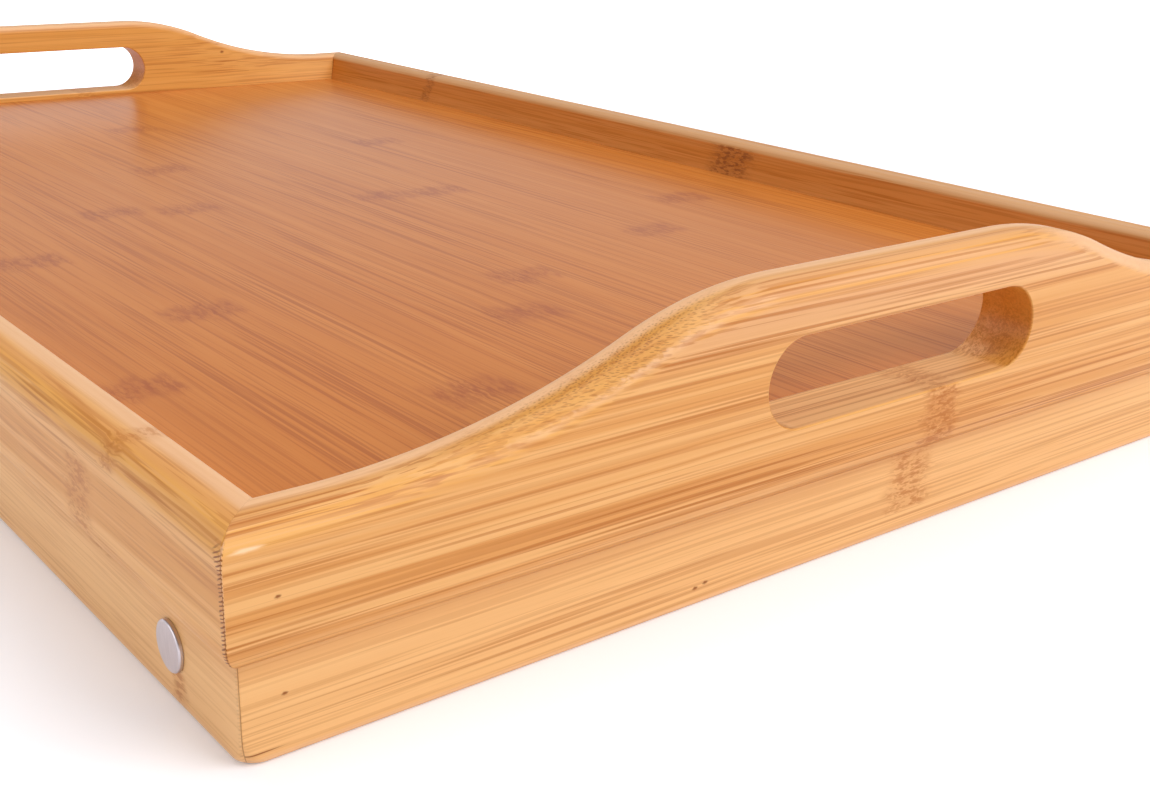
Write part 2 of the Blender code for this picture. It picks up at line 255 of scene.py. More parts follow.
class MaterialSketch(NodeSketch):
    """The nodes of one material, on Object coordinates."""

    relief_strength = 0.3

    def __init__(self, name: str) -> None:
        """Start a material that has only its surface shader."""
        self.material = bpy.data.materials.new(name)
        self.material.use_nodes = True
        super().__init__(self.material.node_tree)

    def place_mm(self) -> list[Field]:
        """Give the point's X, Y and Z on the piece, in millimetres."""
        feeds = {0: self.source("ShaderNodeTexCoord", "Object"), "Scale": MM_PER_METRE}
        return self.result("ShaderNodeVectorMath", feeds, operation="SCALE").parts()

    def surface(
        self, colour: Field, height: Field, depth: float, fixed: Mapping[str, float]
    ) -> bpy.types.Material:
        """Give the shader its colour, a fine relief and its fixed values.

        Args:
            colour: the base colour.
            height: how high the surface lies, from 0 to 1.
            depth: how deep the relief is, in metres.
            fixed: values that are the same everywhere, by the shader's own names.

        Returns:
            The material.
        """
        shader = self.tree.nodes["Principled BSDF"]
        feeds = {"Strength": self.relief_strength, "Distance": depth, "Height": height}
        bump = self.result("ShaderNodeBump", feeds)
        self.tree.links.new(colour.socket, shader.inputs["Base Color"])
        self.tree.links.new(bump.socket, shader.inputs["Normal"])
        for name, value in fixed.items():
            shader.inputs[name].default_value = value
        return self.material


@dataclass(frozen=True)
class NodeMark:
    """A growth node of the bamboo, where the fibres tangle and darken."""

    along_mm: float
    low_mm: float
    high_mm: float
    reach_mm: float
    strength: float = 1.0


@dataclass(frozen=True)
class Speck:
    """A tiny dark knot on the outer face, or a dark dash where it is drawn out along the grain; a pale dash
    is a painted highlight.
    """

    along_mm: float
    height_mm: float
    radius_mm: float = 0.5
    stretch: float = 1.7
    pale: bool = False


@dataclass(frozen=True)
class BambooColours:
    """The tones of pale lacquered bamboo."""

    light: Colour = paint(241, 183, 115)
    body: Colour = paint(226, 159, 86)
    streak: Colour = paint(184, 104, 20)
    band: Colour = paint(250, 198, 134)
    # inner is a pale tone. On the top's inner half it is a painted sheen, and on the foot's rounded edge a
    # painted highlight.
    inner: Colour = paint(240, 190, 146)
    inner_face: Colour = paint(214, 144, 62)
    golden: Colour = paint(220, 156, 62)
    # rounding_painted_light is the brighter golden painted on the outer top rounding as painted light.
    rounding_painted_light: Colour = paint(238, 172, 82)
    end_grain: Colour = paint(214, 134, 50)
    fibre: Colour = paint(184, 108, 28)
    # pale is the painted highlight's tone.
    pale: Colour = paint(250, 208, 164)
    # node is also laid under the proud face as painted shade.
    node: Colour = paint(186, 106, 22)
    seam: Colour = paint(146, 76, 0)


# The back rail's tones are painted shade: darker all over, and a deep orange on its inner face, for the
# little light that reaches it and the panel's orange bounce. Its node tone is darker to show against them.
BACK_RAIL_PAINTED_SHADE = BambooColours(
    light=paint(220, 164, 104),
    body=paint(209, 150, 88),
    inner=paint(214, 166, 122),
    inner_face=paint(206, 116, 18),
    node=paint(138, 72, 14),
)
# The left end board's inner face faces the key lamp and is painted lighter and more golden: painted light.
LEFT_END_PAINTED_LIGHT = BambooColours(inner_face=paint(232, 165, 74))


class Spot:
    """What the nodes know of the point being shaded; its places are in millimetres.

    The shares run from 0 to 1. Top is how far the surface faces upwards, upright how far it does not,
    and rounding how far it is the outer rounding between the two. Outer is the outer side of a board,
    skin the dense wood there, smooth the top's inner half, where fewer lines show and a pale
    painted sheen is laid, and low_band the outer face below the proud part. Slope and edge_slope are how
    far the surface leaves the grain's direction, cross how far it cuts right across the grain, slot_zone
    the box round the hand slot, and slot_wall its wall. Tangle is how strongly the point lies in a
    growth node. Drawn is the point with the grain's direction shortened.
    """

    up_from_foot = (20, 30)
    outer_side = (9, 11)
    inner_half = (9.5, 7)
    above_panel = (36, 40)
    below_shelf = (18.9, 18.2)
    slot_top = (53.5, 52.5)
    slot_ease = 1.5

    def __init__(self, sketch: NodeSketch, finish: BambooFinish) -> None:
        """Work the places and shares out from the point and the way that the surface faces.

        Args:
            sketch: the material's nodes.
            finish: the finish, for its grain and its piece's sizes.
        """
        self.sketch = sketch
        x, y, z = sketch.place_mm()
        x_facing, y_facing, z_facing = sketch.source("ShaderNodeTexCoord", "Normal").parts()
        lengthwise = finish.grain is Grain.ALONG_X
        self.along, self.sideways = (x, y) if lengthwise else (y, x)
        self.height = z
        facing = abs(x_facing if lengthwise else y_facing)
        if finish.mitre_mm:
            facing = facing * z.step(*self.up_from_foot)
        self.slope = facing.step(0.06, 0.35)
        self.edge_slope = facing.step(0.03, 0.2)
        self.cross = facing.step(0.12, 0.9)
        self.top = z_facing.step(0.25, 0.8)
        self.upright = z_facing.step(0.75, 0.25)
        self.outward = abs(self.sideways) - finish.inner_face_mm
        self.outer = self.outward.step(*self.outer_side)
        self.skin = self.outward.step(*finish.skin_mm)
        self.rounding = z_facing.step(0.1, 0.4) * z_facing.step(0.995, 0.9) * self.outer
        self.smooth = self.outward.step(*self.inner_half) * z.step(*self.above_panel) * self.top
        self.low_band = z.step(*self.below_shelf) * self.outer
        self.slot_zone: Feed = 0.0
        self.slot_wall: Feed = 0.0
        if finish.slot_half_mm:
            within = abs(self.along).step(finish.slot_half_mm + self.slot_ease, finish.slot_half_mm)
            self.slot_zone = within * z.step(*self.slot_top)
            self.slot_wall = self.slot_zone * self.slope
        self.tangle = self.tangled(finish)
        self.drawn = self.drawn_out(finish)

    def tangled(self, finish: BambooFinish) -> Feed:
        """Find how strongly the point lies in a growth node: the largest of the nodes' own falls.

        Args:
            finish: the finish, for its nodes.

        Returns:
            A value from 0 to 1.
        """
        ease, swing = 0.6, 7.0
        if not finish.nodes:
            return 0.0
        ragged = self.sketch.point(finish.seed, self.height, self.sideways).noise(2.5)
        shifted = ragged * swing + self.along
        total: Feed = 0.0
        for mark in finish.nodes:
            near = abs(shifted - (mark.along_mm + swing / 2)).step(mark.reach_mm, 0.25 * mark.reach_mm)
            above = self.height.step(mark.low_mm - ease, mark.low_mm + ease)
            below = self.height.step(mark.high_mm + ease, mark.high_mm - ease)
            total = (near * (above * below * mark.strength)).most(total)
        return total

    def drawn_out(self, finish: BambooFinish) -> Field:
        """Give the point in a space where a fibre's length is no more than its width.

        The place across the grain wanders slowly along it, and more where the fibres tangle.

        Args:
            finish: the finish, for the lines' length and how far they wander.

        Returns:
            The point.
        """
        slow = self.sketch.point(self.along * (1 / 160), self.height * 0.05, finish.seed)
        quick = self.sketch.point(self.along * 0.3, self.height * 0.4, finish.seed)
        jolt = (quick.noise(1.0) - 0.5) * self.tangle
        shift = (slow.noise(1.0) - 0.5) * finish.wander_mm + jolt * 4.0
        drawn = self.along * (1 / finish.line_length) + finish.seed
        return self.sketch.point(drawn, self.height + shift, self.sideways + shift)


@dataclass(frozen=True)
class BambooFinish:
    """Satin-lacquered bamboo, as one solid pattern that every cut face of a piece shows.

    Fibre bundles are cells drawn out along the grain, so that they show as thin lines on long faces.
    They are dense towards the skin, on the outer side, where their open ends show as pores.
    """

    name: str
    grain: Grain
    inner_face_mm: float
    seed: float
    nodes: tuple[NodeMark, ...] = ()
    specks: tuple[Speck, ...] = ()
    mitre_mm: Pair | None = None
    slot_half_mm: float = 0.0
    seam_band_mm: float = 0.25
    line_share: float = 0.8
    line_length: float = 130.0
    colours: BambooColours = field(default_factory=BambooColours)
    skin_mm: Pair = (5.5, 8.5)
    bundle_mm: float = 0.9
    pore_mm: float = 1.15
    comb_mm: float = 0.72
    wander_mm: float = 0.9
    band_share: float = 0.7
    roughness: float = 0.42
    gloss: float = 0.4
    relief: float = 0.012 * MM

    def material(self) -> bpy.types.Material:
        """Lay the finish out as nodes, each step over the one before.

        Returns:
            The material.
        """
        sketch = MaterialSketch(self.name)
        spot = Spot(sketch, self)
        colour, lines = self.with_lines(spot, self.tones(spot))
        steps = [self.with_pores, self.with_rims_and_painted_light, self.with_nodes, self.with_specks, self.with_seam]
        for step in steps:
            colour = step(spot, colour)
        fixed = {"Roughness": self.roughness, "Specular IOR Level": self.gloss}
        return sketch.surface(colour, 1.0 - lines, self.relief, fixed)

    def tones(self, spot: Spot) -> Field:
        """Give the wood's tone without its lines: soft bands, tinted by where a face lies.

        Args:
            spot: the point.

        Returns:
            The colour.
        """
        tone = self.colours
        bands = spot.drawn.noise(2.6).step(0.38, 0.62)
        inner_face = spot.outward.step(3.25, 3.0) * spot.upright
        shelf = spot.top * spot.height.step(36, 34)
        handle = spot.height.step(49, 56) * spot.outer
        cut = 0.9 - spot.slot_wall * spot.height.step(44, 36) * 0.35
        streaky = spot.drawn.noise(1.1).step(0.42, 0.58)
        # Painted light: the outer top rounding is laid a brighter golden, broken up by streaks along the
        # grain.
        rounding_painted_light = spot.rounding * (1.0 - spot.slope) * streaky
        colour = spot.sketch.mix(bands, tone.body, tone.light)
        for laid, share in (
            (tone.inner_face, inner_face * 0.8),
            (tone.band, spot.low_band * self.band_share),
            (tone.band, shelf * 0.75),
            (tone.inner, handle * 0.45),
            (tone.golden, spot.slope * spot.skin * 0.85),
            (tone.end_grain, spot.cross * cut),
            (tone.rounding_painted_light, rounding_painted_light * 0.75),
            # Painted sheen: the top's inner half is laid pale.
            (tone.inner, spot.smooth * 0.8),
        ):
            colour = colour.under(laid, share)
        return colour

    def with_lines(self, spot: Spot, colour: Field) -> tuple[Field, Field]:
        """Draw the grain: crisp threads, fine lines between them, and a few broader streaks.

        Args:
            spot: the point.
            colour: the wood's tone.

        Returns:
            The colour, and how strongly each point lies on a line.
        """
        distance, own = spot.drawn.cells(self.bundle_mm)
        thread = distance.step(0.42, 0.2) * own.step(-0.3, 0.8)
        elsewhere = spot.drawn.moved((3.7, 11.3, 5.9))
        strong = elsewhere.noise(1.3, 1.0).step(0.59, 0.65)
        fine = elsewhere.noise(0.6, 1.0).step(0.53, 0.6)
        hair = spot.drawn.noise(0.35)
        shown = 1.0 - spot.smooth * 0.75 - spot.low_band * 0.45
        shown = shown * (1.0 - spot.height.step(50, 60) * 0.35)
        crowd = (0.5 + elsewhere.noise(7.0, 1.0).step(0.4, 0.62) * 0.5) * shown
        flat = (1.0 - spot.slope) * shown
        for drawn, share in (
            (hair * crowd, 0.3),
            (fine * crowd, 0.6),
            (strong * crowd, 0.42),
            (thread * (0.4 + crowd * 0.6) * flat, 0.9),
        ):
            colour = colour.under(self.colours.streak, drawn * (share * self.line_share))
        return colour, thread.most(fine)

    def with_pores(self, spot: Spot, colour: Field) -> Field:
        """Show the bundles' open ends on the slopes, and as a dense speckle on the slot's wall.

        Args:
            spot: the point.
            colour: the wood with its lines.

        Returns:
            The colour.
        """
        cut_across = spot.sketch.point(spot.height * 4.4, spot.sideways * 1.5, 0.0)
        distance, own = cut_across.cells(self.pore_mm, "2D")
        pore = distance.step(0.34, 0.17) * own.step(-0.3, 0.5)
        shown = (spot.slope - spot.slot_wall) * spot.skin * 0.6
        colour = colour.under(self.colours.seam, pore * shown)
        if not self.slot_half_mm:
            return colour
        speckle = spot.drawn.noise(0.5, 2.0, 0.6).step(0.5, 0.6)
        dense = 0.2 + spot.height.step(48, 40) * 0.45
        return colour.under(self.colours.fibre, speckle * spot.slot_wall * dense)

    def with_rims_and_painted_light(self, spot: Spot, colour: Field) -> Field:
        """Leave the outermost skin pale on the slopes, lay a painted highlight on the foot's rounded edge,
        and paint shade under the proud face.

        Args:
            spot: the point.
            colour: the wood so far.

        Returns:
            The colour.
        """
        tone = self.colours
        ragged = spot.sketch.point(spot.along * 0.6, spot.height, self.seed).noise(1.0)
        edge = (spot.outward + ragged * 2.6).step(15.0, 15.7)
        colour = colour.under(tone.inner, edge * (spot.slope - spot.slot_wall) * 0.75)
        if self.slot_half_mm:
            rear = spot.along.step(self.slot_half_mm - 12, self.slot_half_mm) * (1.0 - spot.slot_zone)
            colour = colour.under(tone.inner, spot.rounding * spot.edge_slope * rear * 0.8)
        # Painted shade: the outer face just under the proud part is darkened with the node tone, where the
        # overhang shades it.
        below_shelf = spot.height.step(14.0, 18.2) * spot.height.step(20.5, 18.6)
        colour = colour.under(tone.node, below_shelf * spot.outer * 0.3)
        # Painted highlight: the foot's rounded edge on the outer face is laid pale, where it catches the
        # floor's light.
        return colour.under(tone.inner, spot.height.step(1.7, 1.1) * spot.outer * 0.5)

    def with_nodes(self, spot: Spot, colour: Field) -> Field:
        """Tint the growth nodes and break them up into short dark dashes.

        Args:
            spot: the point.
            colour: the wood so far.

        Returns:
            The colour.
        """
        if not self.nodes:
            return colour
        short = spot.sketch.point(spot.along * 0.3, spot.height, spot.sideways)
        dashes = short.noise(0.9, 2.0, 0.6).step(0.47, 0.6)
        return colour.under(self.colours.node, spot.tangle * (0.3 + dashes * 0.6))

    def with_specks(self, spot: Spot, colour: Field) -> Field:
        """Lay each tiny knot, dash and painted highlight over the colour.

        Args:
            spot: the point.
            colour: the wood so far.

        Returns:
            The colour.
        """
        for speck in self.specks:
            along = (spot.along - speck.along_mm) / speck.stretch
            place = spot.sketch.point(along, spot.height - speck.height_mm, 0.0)
            ragged = place.length() + place.noise(0.5) * (0.8 * speck.radius_mm)
            round_spot = ragged.step(1.3 * speck.radius_mm, 0.6 * speck.radius_mm)
            # A pale speck is a painted highlight.
            tone = self.colours.pale if speck.pale else self.colours.seam
            colour = colour.under(tone, round_spot * 0.95)
        return colour

    def with_seam(self, spot: Spot, colour: Field) -> Field:
        """Darken the mitre's upright edge, and the open fibre ends beside it as a comb of short dashes.

        Args:
            spot: the point.
            colour: the wood so far.

        Returns:
            The colour.
        """
        if self.mitre_mm is None:
            return colour
        own, other = self.mitre_mm if self.grain is Grain.ALONG_X else self.mitre_mm[::-1]
        away = abs((abs(spot.along) - own) - (abs(spot.sideways) - other))
        line = away.step(0.18, 0.04) * 0.6
        uneven = spot.sketch.point(self.seed, 0.0, spot.height).noise(1.6)
        turns = 2 * pi / self.comb_mm
        comb = spot.sketch.maths("SINE", spot.height * turns + away * (0.45 * turns) + uneven * 9.0)
        wide = 0.6 + spot.height.step(36, 39) * 1.1 + uneven * 0.8
        band = (away / wide).step(self.seam_band_mm, 0.6 * self.seam_band_mm)
        span = 0.15 + spot.height.step(18, 21) * 0.85
        dashes = band * comb.step(0.0, 0.7) * span
        return colour.under(self.colours.seam, line.most(dashes) * spot.upright)


@dataclass(frozen=True)
class PanelFinish:
    """The caramel bamboo panel: strips with fine dark lines, growth nodes and a satin gloss."""

    name: str = "panel_caramel_bamboo"
    strip_mm: float = 22.0
    line_length: float = 90.0
    light: Colour = paint(214, 133, 60)
    body: Colour = paint(202, 118, 46)
    line: Colour = paint(158, 76, 26)
    smudge: Colour = paint(158, 72, 32)
    roughness: float = 0.27
    gloss: float = 0.34
    relief: float = 0.015 * MM
    marks_mm: tuple[Pair, ...] = (
        (72, 97), (-70, 65), (102, 59), (20, 35), (17, 15), (123, -5), (152, -25), (-60, -28),
        (2, -46), (-5, -68), (192, -68), (108, -90), (40, -108), (153, -125), (-143, -5),
    )

    def material(self) -> bpy.types.Material:
        """Lay the finish out as nodes.

        Returns:
            The material.
        """
        sketch = MaterialSketch(self.name)
        x, y, z = sketch.place_mm()
        smudges = self.smudges(sketch, x, y)
        jolt = (sketch.point(x, y, z).noise(3.0) - 0.5) * smudges
        drawn = sketch.point(x * (1 / self.line_length), y + jolt * 2.5, z)
        strip = sketch.maths("FLOOR", y / self.strip_mm)
        strip_tone = sketch.point(strip, 7.3, x * 0.002).noise(0.37)
        tone = strip_tone * 0.6 + drawn.noise(4.0).step(0.35, 0.65) * 0.5
        crowd = 0.45 + drawn.noise(9.0, 1.0).step(0.42, 0.6) * 0.55
        strong = drawn.noise(1.5, 1.0).step(0.58, 0.7) * 0.75
        fine = drawn.noise(0.65, 2.0, 0.6).step(0.48, 0.66) * 0.7
        lines = strong.most(fine) * crowd
        mottle = sketch.point(x * 0.3, y, z).noise(1.5, 3.0, 0.65).step(0.4, 0.64)
        colour = sketch.mix(tone, self.body, self.light).under(self.line, lines * 0.75)
        colour = colour.under(self.smudge, smudges * (0.2 + mottle * 0.42))
        fixed = {"Roughness": self.roughness, "Specular IOR Level": self.gloss}
        return sketch.surface(colour, 1.0 - lines, self.relief, fixed)

    def smudges(self, sketch: NodeSketch, x: Field, y: Field) -> Feed:
        """Find how strongly a point lies in a growth node, a strip wide and a few millimetres long.

        Args:
            sketch: the material's nodes.
            x, y: the point, in millimetres.

        Returns:
            A value from 0 to 1.
        """
        swing = 14.0
        shifted = sketch.point(x * 0.2, y, 0.0).noise(3.0) * swing + x
        total: Feed = 0.0
        for along, across in self.marks_mm:
            near = abs(shifted - (along + swing / 2)).step(10.0, 2.0)
            total = (near * abs(y - across).step(self.strip_mm / 2, 8.0)).most(total)
        return total


@dataclass(frozen=True)
class SteelFinish:
    """Satin plated steel with a faint turned grain."""

    name: str = "satin_plated_steel"
    bright: Colour = paint(218, 211, 214)
    dull: Colour = paint(190, 182, 188)
    roughness: float = 0.34
    relief: float = 0.01 * MM

    def material(self) -> bpy.types.Material:
        """Lay the finish out as nodes.

        Returns:
            The material.
        """
        sketch = MaterialSketch(self.name)
        x, y, z = sketch.place_mm()
        brushed = sketch.point(x, y, z * 0.12).noise(0.35, 3.0, 0.6)
        colour = sketch.mix(brushed, self.dull, self.bright)
        return sketch.surface(colour, brushed, self.relief, {"Metallic": 1.0, "Roughness": self.roughness})


@dataclass(frozen=True)
class NylonFinish:
    """The off-white moulded nylon of the washers."""

    name: str = "moulded_nylon"
    pale: Colour = paint(228, 225, 216)
    shaded: Colour = paint(214, 209, 198)
    roughness: float = 0.5
    relief: float = 0.01 * MM

    def material(self) -> bpy.types.Material:
        """Lay the finish out as nodes.

        Returns:
            The material.
        """
        sketch = MaterialSketch(self.name)
        place = sketch.point(*sketch.place_mm())
        colour = sketch.mix(place.noise(1.5, 3.0), self.pale, self.shaded)
        return sketch.surface(colour, place.noise(0.15), self.relief, {"Roughness": self.roughness})


def lofted(name: str, rings: np.ndarray, closed: bool = False) -> bpy.types.Object:
    """Join closed rings into one closed skin, at the origin and with its faces turned outwards.

    Each ring's point is joined to its follower on the ring and to the same two on the next ring.

    Args:
        name: the object's name.
        rings: an array of ring, point on the ring, and X, Y and Z.
        closed: whether the last ring joins the first, where a flat face at each end would be.

    Returns:
        The object, linked to the scene.
    """
    count, around, _ = rings.shape
    ring, spot = np.meshgrid(np.arange(count if closed else count - 1), np.arange(around), indexing="ij")
    next_ring, after = (ring + 1) % count, (spot + 1) % around
    corners = [(ring, spot), (ring, after), (next_ring, after), (next_ring, spot)]
    faces = np.stack([one * around + two for one, two in corners], axis=-1).reshape(-1, 4).tolist()
    if not closed:
        last = (count - 1) * around
        faces += [list(range(around)), list(range(last, last + around))]
    mesh = bpy.data.meshes.new(name)
    mesh.from_pydata(rings.reshape(-1, 3), [], faces)
    shape = bmesh.new()
    shape.from_mesh(mesh)
    bmesh.ops.recalc_face_normals(shape, faces=shape.faces)
    shape.to_mesh(mesh)
    shape.free()
    piece = bpy.data.objects.new(name, mesh)
    bpy.context.scene.collection.objects.link(piece)
    return piece


def turned(
    name: str, profile: np.ndarray, place: np.ndarray, steps: int = 72, closed: bool = False
) -> bpy.types.Object:
    """Turn a profile about a line along Y: radius times the cosine and sine of the angle.

    Args:
        name: the object's name.
        profile: rows of radius and distance along Y, from one end of the turned piece to the other.
        place: the point on the line from which distances are counted.
        steps: how many facets go round.
        closed: whether the profile is a closed line, so that the piece is a ring.

    Returns:
        The object.
    """
    angle = np.linspace(0, 2 * pi, steps, endpoint=False)
    radius, along = profile[:, :1], profile[:, 1:]
    flat = np.broadcast_to(along, (len(profile), steps))
    rings = np.stack([radius * np.cos(angle), flat, radius * np.sin(angle)], axis=-1) + place
    return lofted(name, rings.transpose(1, 0, 2) if closed else rings, closed)


def arc(centre: Pair, radius: float, start: float, end: float, steps: int) -> np.ndarray:
    """Give points round part of a circle: its centre plus the radius times cosine and sine.

    Args:
        centre: the circle's middle.
        radius: its radius.
        start, end: the angles, in degrees.
        steps: how many steps lie between them.

    Returns:
        One row for each point.
    """
    angle = np.radians(np.linspace(start, end, steps + 1))
    return np.array(centre) + radius * np.column_stack([np.cos(angle), np.sin(angle)])


def eased_rectangle(low: Pair, high: Pair, ease: float, steps: int) -> np.ndarray:
    """Draw a rectangle with rounded corners, from the foot of its right side.

    Args:
        low, high: its lowest and highest corner.
        ease: the corners' radius.
        steps: how many steps each corner takes.

    Returns:
        One row for each point.
    """
    (left, foot), (right, top) = np.add(low, ease), np.subtract(high, ease)
    centres = ((right, foot), (right, top), (left, top), (left, foot))
    turns = zip(centres, (-90, 0, 90, 180))
    return np.concatenate([arc(centre, ease, start, start + 90, steps) for centre, start in turns])


def carve(piece: bpy.types.Object, cutters: list[bpy.types.Object]) -> None:
    """Cut closed shapes out of a piece, and then drop them.

    Args:
        piece: the object, whose mesh takes the result.
        cutters: the shapes to cut out.
    """
    for cutter in cutters:
        modifier = piece.modifiers.new(cutter.name, "BOOLEAN")
        modifier.operation = "DIFFERENCE"
        modifier.solver = "EXACT"
        modifier.object = cutter
    evaluated = piece.evaluated_get(bpy.context.evaluated_depsgraph_get())
    result = bpy.data.meshes.new_from_object(evaluated)
    piece.modifiers.clear()
    piece.data = result
    for cutter in cutters:
        bpy.data.objects.remove(cutter, do_unlink=True)


def dress(piece: bpy.types.Object, material: bpy.types.Material, slot: str, body: str, *nodes: str) -> None:
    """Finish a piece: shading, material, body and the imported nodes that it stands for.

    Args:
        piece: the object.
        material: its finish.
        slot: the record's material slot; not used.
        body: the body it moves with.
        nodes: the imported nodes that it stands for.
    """
    mesh = piece.data
    mesh.shade_smooth()
    mesh.set_sharp_from_angle(angle=SHARP_ANGLE)
    mesh.materials.clear()
    mesh.materials.append(material)
    weighted = piece.modifiers.new("weighted_normal", "WEIGHTED_NORMAL")
    weighted.keep_sharp = True
    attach(piece, body)
    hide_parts(*nodes)
    log.info("%s: %d faces on body %s", piece.name, len(mesh.polygons), body)


def body_of(node: str) -> str:
    """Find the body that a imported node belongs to."""
    groups = frame["record"]["behaviour"]["bodies"]
    return next(body for body, members in groups.items() if node in members)


@dataclass(frozen=True)
class TraySizes:
    """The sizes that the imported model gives."""

    inner_length: float
    inner_width: float
    thickness: float
    rail_height: float
    handle_rise: float
    panel_low: Vector
    panel_high: Vector

    @classmethod
    def from_frame(cls) -> TraySizes:
        """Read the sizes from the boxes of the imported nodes.

        Returns:
            The sizes.
        """
        board_low, board_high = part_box("right_end_board")
        rail_low, rail_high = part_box("back_rail")
        panel_low, panel_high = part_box("tray_panel")
        return cls(
            inner_length=2 * board_low.x,
            inner_width=2 * rail_low.y,
            thickness=board_high.x - board_low.x,
            rail_height=rail_high.z,
            handle_rise=board_high.z - rail_high.z,
            panel_low=panel_low,
            panel_high=panel_high,
        )


@dataclass
class MouldedSection:
    """A board's section: a rounded top, a proud face that rounds in, and a thinner band below.

    Distances are counted outwards from where the panel meets the board. Above the panel the inner
    face leans outwards, and below it an end board's is set back for the legs' short ends.
    """

    sizes: TraySizes
    leg_recess: float = 0.0
    top_radius: float = 3 * MM
    outer_radius: float = 5 * MM
    inner_lean: float = 3 * MM
    foot_radius: float = 1.2 * MM
    band_height: float = 18.5 * MM
    band_inset: float = 3 * MM
    flare_radius: float = 6 * MM
    groove_depth: float = 8.3 * MM
    groove_play: float = 0.02 * MM
    edge_round: float = 0.35 * MM
    foot_round: float = 5 * MM
    foot_zone: float = 6 * MM
    steps: int = 9
    band_heights: tuple[float, ...] = (2.4 * MM, 3.6 * MM, 4.8 * MM, 6 * MM, 10 * MM, 17 * MM)

    def ring(self) -> tuple[np.ndarray, np.ndarray]:
        """Work the section out as arcs joined by straight runs.

        Returns:
            Rows of distance outwards and height, and for each row 1 if it rides the handle's curve.
        """
        outer = self.sizes.thickness
        top = self.sizes.rail_height - self.top_radius
        shoulder = self.sizes.rail_height - self.outer_radius
        band = outer - self.band_inset
        foot = self.foot_radius
        turn = np.arccos(1 - self.band_inset / self.flare_radius)
        flare_centre = (outer - self.flare_radius, self.band_height + self.flare_radius * sin(turn))
        below = [
            arc((self.leg_recess + foot, foot), foot, 180, 270, self.steps),
            arc((band - foot, foot), foot, 270, 360, self.steps),
            np.column_stack([np.full(len(self.band_heights), band), self.band_heights]),
            arc(flare_centre, self.flare_radius, -float(np.degrees(turn)), 0, self.steps),
        ]
        above = [
            arc((outer - self.outer_radius, shoulder), self.outer_radius, 0, 90, self.steps),
            arc((self.inner_lean + self.top_radius, top), self.top_radius, 90, 180, self.steps),
        ]
        high = self.sizes.panel_high.z + self.groove_play
        low = self.sizes.panel_low.z - self.groove_play
        deep = self.groove_depth
        groove = np.array([(0, high), (deep, high), (deep, low), (self.leg_recess, low)])
        rows = np.concatenate([*below, *above, groove])
        rides = np.zeros(len(rows))
        start = sum(len(part) for part in below)
        rides[start : start + sum(len(part) for part in above)] = 1
        return rows, rides

    def lean_at(self, height: np.ndarray, rise: float) -> np.ndarray:
        """Give how far outwards the leaning inner face lies at a height above the panel.

        Args:
            height: heights above the floor.
            rise: how far the board's top rises above the rails there.

        Returns:
            The distance outwards for each height, in proportion to the height above the panel.
        """
        low = self.sizes.panel_high.z
        tall = self.sizes.rail_height + rise - self.top_radius - low
        return self.inner_lean * (height - low) / tall

    def corner_rounds(self, rows: np.ndarray) -> np.ndarray:
        """Give the radius by which each point's upright corner is eased.

        It is nothing on the inner half, the edge's own radius on the outer face, and it grows
        towards the foot.

        Args:
            rows: distance outwards and height.

        Returns:
            One radius for each row.
        """
        outward, height = rows.T
        half = self.sizes.thickness / 2
        outer_share = np.clip((outward - half) / (half - self.band_inset), 0, 1)
        foot_share = np.clip(1 - height / self.foot_zone, 0, 1) ** 2
        return outer_share * (self.edge_round + (self.foot_round - self.edge_round) * foot_share)


@dataclass
class Board:
    """One mitred board of the tray's frame."""

    node: str
    section: MouldedSection
    finish: BambooFinish
    half_length: float
    inner_face: float
    grain: Grain
    sign: int
    middle_rings: int = 2
    corner_zone: float = 6 * MM
    corner_rings: int = 12
    seam: float = 0.01 * MM

    def rise(self, along: np.ndarray) -> np.ndarray:
        """Give how far the top edge rises above the rails: nothing on a plain board."""
        return np.zeros_like(along)

    def rings(self) -> np.ndarray:
        """Carry the section from mitre to mitre.

        In the middle a point lies at a share of its own half length less the corner zone. In the
        corner zone its way to the sharp corner falls with the square of the share left, and the
        eased corner draws it in by the circle's rise there.

        Returns:
            An array of ring, point on the ring, and X, Y and Z.
        """
        rows, rides = self.section.ring()
        outward, height = rows.T
        radius = self.section.corner_rounds(rows)
        reach = self.half_length + outward
        middle = np.linspace(-1, 1, self.middle_rings)[:, None] * (reach - self.corner_zone)
        left = np.linspace(1, 0, self.corner_rings + 1)[1:, None] ** 2
        last = radius * (1 - 1 / sqrt(2)) + self.seam
        away = last + (self.corner_zone - last) * left
        short = np.clip(radius - away, 0, None)
        drop = radius - np.sqrt(radius**2 - short**2)
        corner = reach - away
        along = np.concatenate([-corner[::-1], middle, corner])
        inwards = np.concatenate([drop[::-1], np.zeros_like(middle), drop])
        across = self.sign * (self.inner_face + outward - inwards)
        tall = height + rides * self.rise(along)
        if self.grain is Grain.ALONG_X:
            return np.stack([along, across, tall], axis=-1)
        return np.stack([across, along, tall], axis=-1)

    def cutters(self) -> list[bpy.types.Object]:
        """Make the shapes to cut out of the board: none on a plain one."""
        return []

    def build(self) -> None:
        """Make the board and dress it."""
        piece = lofted(self.node + "_moulded", self.rings())
        carve(piece, self.cutters())
        dress(piece, self.finish.material(), "bamboo", "tray", self.node)


